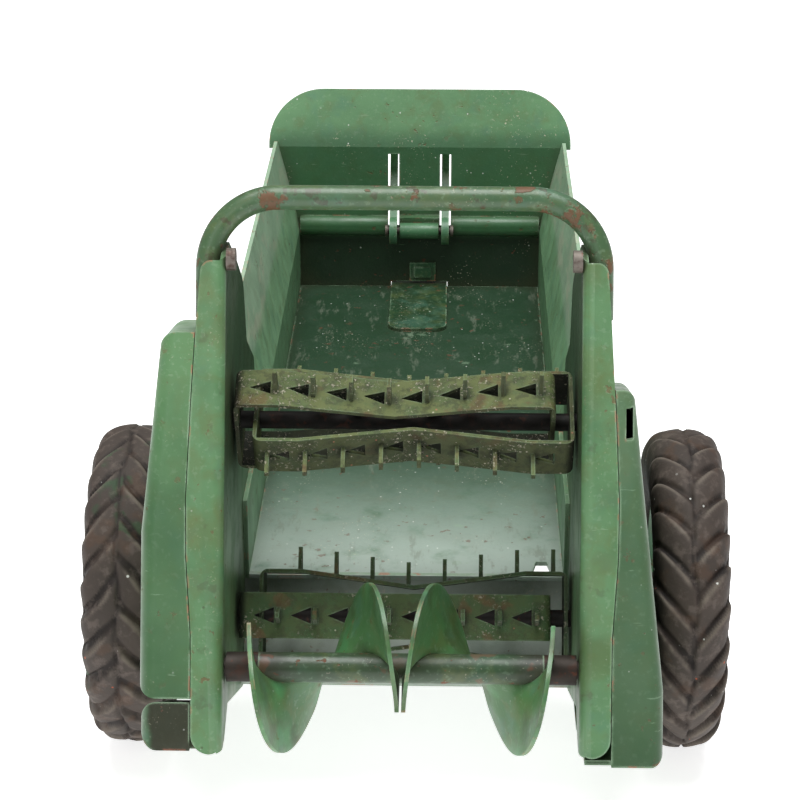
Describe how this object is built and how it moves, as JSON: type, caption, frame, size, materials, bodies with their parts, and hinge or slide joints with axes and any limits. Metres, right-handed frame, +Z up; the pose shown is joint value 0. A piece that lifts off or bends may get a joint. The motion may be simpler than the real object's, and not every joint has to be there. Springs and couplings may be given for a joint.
{
  "type": "toy manure spreader",
  "caption": "Two-wheeled towed spreader toy: pressed-steel box, toothed beaters and a paddle shaft turned by the axle between two end frames, with a bent drawbar.",
  "frame": {"origin": "centre of the object's footprint box on the ground", "axes": "+Y towards the hitch (towing direction), +Z up, +X to the right seen from behind"},
  "size_m": [0.1304, 0.3107, 0.1298],
  "materials": {
    "green_paint": "worn satin green enamel with scuffs and small rust marks",
    "olive_paint": "dirty olive green enamel, gritty",
    "tyre_rubber": "matt dusty brown-black rubber",
    "belt_rubber": "matt black",
    "bare_steel": "dull steel with light rust"
  },
  "bodies": {
    "root": {"box_floor": "green_paint", "wall_left": "green_paint", "wall_right": "green_paint", "front_board": "green_paint", "beater_pan": "green_paint", "floor_strap": "green_paint", "board_clip": "green_paint", "tongue": "green_paint", "tongue_web_left": "green_paint", "tongue_web_right": "green_paint", "lever_knuckle": "green_paint", "lever_pin": "bare_steel", "end_frame_left": "green_paint", "end_frame_right": "green_paint", "arch_rod": "green_paint", "arch_lugs": "green_paint", "frame_rivets_left": "green_paint", "frame_rivets_right": "green_paint", "drive_cover_left": "green_paint", "drive_cover_right": "green_paint", "cover_tail_left": "green_paint", "drive_belt_left": "belt_rubber", "drive_belt_right": "belt_rubber"},
    "wheel_set": {"axle": "bare_steel", "rim_left": "green_paint", "rim_right": "green_paint", "tyre_left": "tyre_rubber", "tyre_right": "tyre_rubber", "hub_cap_left": "bare_steel", "hub_cap_right": "bare_steel", "axle_spacer_left": "bare_steel", "axle_spacer_right": "bare_steel", "axle_pulley": "bare_steel"},
    "upper_beater": {"upper_beater_loop_left": "olive_paint", "upper_beater_loop_right": "olive_paint", "upper_beater_shaft": "bare_steel", "upper_beater_pulley": "bare_steel", "upper_beater_washer": "bare_steel"},
    "lower_beater": {"lower_beater_loop_left": "olive_paint", "lower_beater_loop_right": "olive_paint", "lower_beater_shaft": "bare_steel", "lower_beater_pulley_left": "bare_steel", "lower_beater_pulley_right": "bare_steel"},
    "widespread": {"widespread_tube": "olive_paint", "widespread_collar_left": "bare_steel", "widespread_collar_right": "bare_steel", "paddle_left_outer": "olive_paint", "paddle_left_inner": "olive_paint", "paddle_right_inner": "olive_paint", "paddle_right_outer": "olive_paint", "widespread_shaft": "bare_steel", "widespread_pulley": "bare_steel", "widespread_washer": "bare_steel"},
    "lever_left_arm": {"lever_left": "green_paint"},
    "lever_right_arm": {"lever_right": "green_paint"}
  },
  "joints": [
    {"name": "wheel_spin", "type": "hinge", "parent": "root", "child": "wheel_set", "pos_m": [0, -0.08007, 0.0335], "axis": [1, 0, 0], "continuous": true},
    {"name": "upper_beater_spin", "type": "hinge", "parent": "root", "child": "upper_beater", "pos_m": [0, -0.10847, 0.0832], "axis": [1, 0, 0], "continuous": true},
    {"name": "lower_beater_spin", "type": "hinge", "parent": "root", "child": "lower_beater", "pos_m": [0, -0.10877, 0.0409], "axis": [1, 0, 0], "continuous": true},
    {"name": "widespread_spin", "type": "hinge", "parent": "root", "child": "widespread", "pos_m": [0, -0.13907, 0.046], "axis": [1, 0, 0], "continuous": true},
    {"name": "lever_left_swing", "type": "hinge", "parent": "root", "child": "lever_left_arm", "pos_m": [0, 0.07533, 0.06], "axis": [1, 0, 0], "range_deg": [-10, 10]},
    {"name": "lever_right_swing", "type": "hinge", "parent": "root", "child": "lever_right_arm", "pos_m": [0, 0.07533, 0.06], "axis": [1, 0, 0], "range_deg": [-10, 10]}
  ],
  "couplings": [
    {"joint": "upper_beater_spin", "follows": "wheel_spin", "ratio": 1.3333},
    {"joint": "lower_beater_spin", "follows": "wheel_spin", "ratio": 1.3333},
    {"joint": "widespread_spin", "follows": "wheel_spin", "ratio": 2.963}
  ]
}
